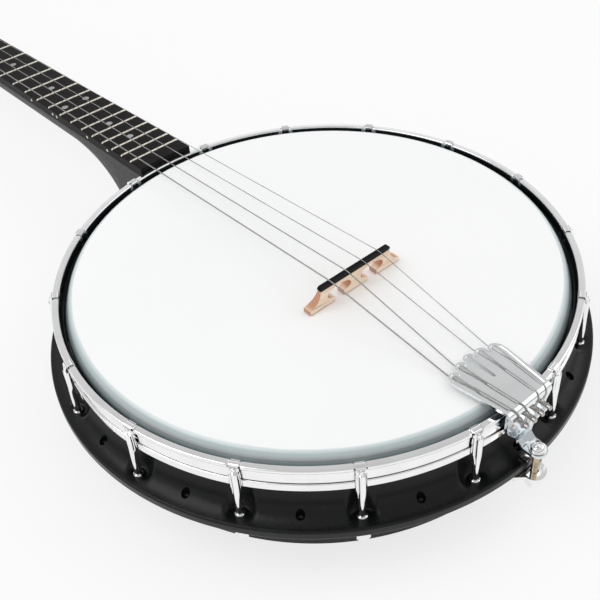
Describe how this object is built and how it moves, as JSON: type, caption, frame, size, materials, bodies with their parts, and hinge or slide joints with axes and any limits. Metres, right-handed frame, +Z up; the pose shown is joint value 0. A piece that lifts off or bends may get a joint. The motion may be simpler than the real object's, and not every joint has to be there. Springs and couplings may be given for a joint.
{
  "type": "tenor banjo",
  "caption": "Tenor banjo with an open back: film head in a hooked hoop on a flanged rim, neck with a fretted board, strings over a bridge to a tailpiece, and turning pegs.",
  "frame": {"origin": "middle of the footprint, level with the foot of the rim", "axes": "+Z up out of the drum head, +Y from the tailpiece towards the headstock, +X to the thin string's side"},
  "size_m": [0.314, 0.8608, 0.087],
  "materials": {
    "composite": "black satin moulded composite",
    "film": "frosted white film",
    "chrome": "bright plated",
    "zinc": "bluish zinc plated",
    "brass": "worn bright",
    "steel": "plain turned",
    "maple": "bare",
    "ebony": "polished",
    "neck": "dark satin lacquer",
    "board": "streaked, oiled",
    "bone": "satin",
    "string": "bright wire"
  },
  "bodies": {
    "banjo": {"pot_rim": "composite", "drum_head": "film", "tension_hoop": "chrome", "flesh_hoop": "chrome", "hook_01": "chrome", "hook_02": "chrome", "hook_03": "chrome", "hook_04": "chrome", "hook_05": "chrome", "hook_06": "chrome", "hook_07": "chrome", "hook_08": "chrome", "hook_09": "chrome", "hook_10": "chrome", "hook_11": "chrome", "hook_12": "chrome", "hook_13": "chrome", "hook_14": "chrome", "hook_15": "chrome", "hook_16": "chrome", "bridge_body": "maple", "bridge_cap": "ebony", "tailpiece_plate": "chrome", "tail_bracket": "zinc", "tail_clamp": "chrome", "tail_screw": "brass", "tail_nut": "chrome", "coordinator_rod": "steel", "rod_nut_heel": "steel", "rod_nut_tail": "steel", "rod_end_nut": "steel", "heel_bolt": "steel", "heel_nut": "steel", "neck": "neck", "fingerboard": "board", "truss_rod": "steel", "nut": "bone", "headstock_overlay": "ebony", "truss_rod_cover": "ebony", "tuner_housing_1": "chrome", "tuner_housing_2": "chrome", "tuner_housing_3": "chrome", "tuner_housing_4": "chrome", "tuner_bushing_1": "chrome", "tuner_bushing_2": "chrome", "tuner_bushing_3": "chrome", "tuner_bushing_4": "chrome", "string_1": "string", "string_2": "string", "string_3": "string", "string_4": "string"},
    "button_1": {"tuner_button_1": "chrome"},
    "button_2": {"tuner_button_2": "chrome"},
    "button_3": {"tuner_button_3": "chrome"},
    "button_4": {"tuner_button_4": "chrome"},
    "post_1": {"string_post_1": "chrome"},
    "post_2": {"string_post_2": "chrome"},
    "post_3": {"string_post_3": "chrome"},
    "post_4": {"string_post_4": "chrome"}
  },
  "joints": [
    {"name": "button_1_turn", "type": "hinge", "parent": "banjo", "child": "button_1", "pos_m": [-0.0175, 0.33123, 0.02054], "axis": [-1, 0, 0], "continuous": true},
    {"name": "button_2_turn", "type": "hinge", "parent": "banjo", "child": "button_2", "pos_m": [-0.0175, 0.38395, 0.00886], "axis": [-1, 0, 0], "continuous": true},
    {"name": "button_3_turn", "type": "hinge", "parent": "banjo", "child": "button_3", "pos_m": [0.0175, 0.38395, 0.00886], "axis": [1, 0, 0], "continuous": true},
    {"name": "button_4_turn", "type": "hinge", "parent": "banjo", "child": "button_4", "pos_m": [0.0175, 0.33123, 0.02054], "axis": [1, 0, 0], "continuous": true},
    {"name": "post_1_turn", "type": "hinge", "parent": "banjo", "child": "post_1", "pos_m": [-0.0175, 0.32688, 0.04251], "axis": [0, 0.2164, 0.9763], "continuous": true},
    {"name": "post_2_turn", "type": "hinge", "parent": "banjo", "child": "post_2", "pos_m": [-0.0175, 0.3796, 0.03082], "axis": [0, 0.2164, 0.9763], "continuous": true},
    {"name": "post_3_turn", "type": "hinge", "parent": "banjo", "child": "post_3", "pos_m": [0.0175, 0.3796, 0.03082], "axis": [0, 0.2164, 0.9763], "continuous": true},
    {"name": "post_4_turn", "type": "hinge", "parent": "banjo", "child": "post_4", "pos_m": [0.0175, 0.32688, 0.04251], "axis": [0, 0.2164, 0.9763], "continuous": true}
  ],
  "couplings": [
    {"joint": "post_1_turn", "follows": "button_1_turn", "ratio": 0.083333},
    {"joint": "post_2_turn", "follows": "button_2_turn", "ratio": 0.083333},
    {"joint": "post_3_turn", "follows": "button_3_turn", "ratio": -0.083333},
    {"joint": "post_4_turn", "follows": "button_4_turn", "ratio": -0.083333}
  ]
}
